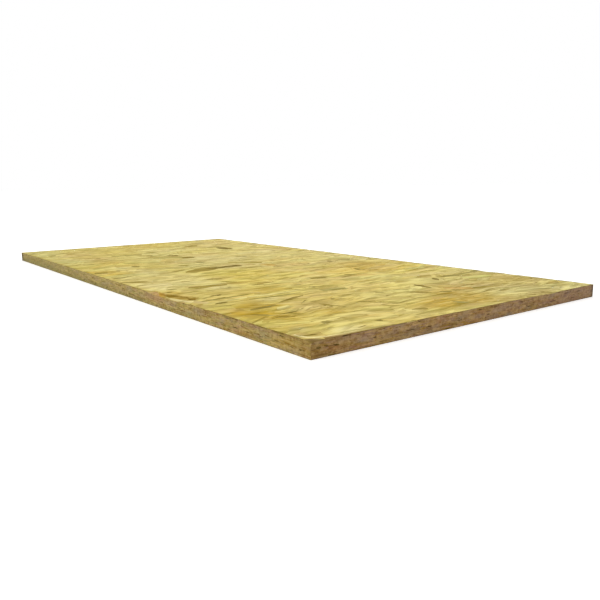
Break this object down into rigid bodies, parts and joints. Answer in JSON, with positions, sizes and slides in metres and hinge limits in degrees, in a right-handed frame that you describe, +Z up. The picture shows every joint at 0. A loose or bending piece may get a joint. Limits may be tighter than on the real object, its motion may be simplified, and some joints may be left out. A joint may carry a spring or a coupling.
{
  "type": "oriented strand board panel",
  "caption": "Flat oriented strand board panel, half as wide as long, with sawn square edges, one knocked corner and a torn arris.",
  "frame": {"origin": "middle of the bottom face", "axes": "+X along the length, +Y along the width, +Z up through the thickness; the knocked corner is at +X, -Y on the top face"},
  "size_m": [1.22, 0.61, 0.022],
  "materials": {
    "strand_board": "matte"
  },
  "bodies": {
    "root": {"osb_panel": "strand_board"}
  },
  "joints": []
}
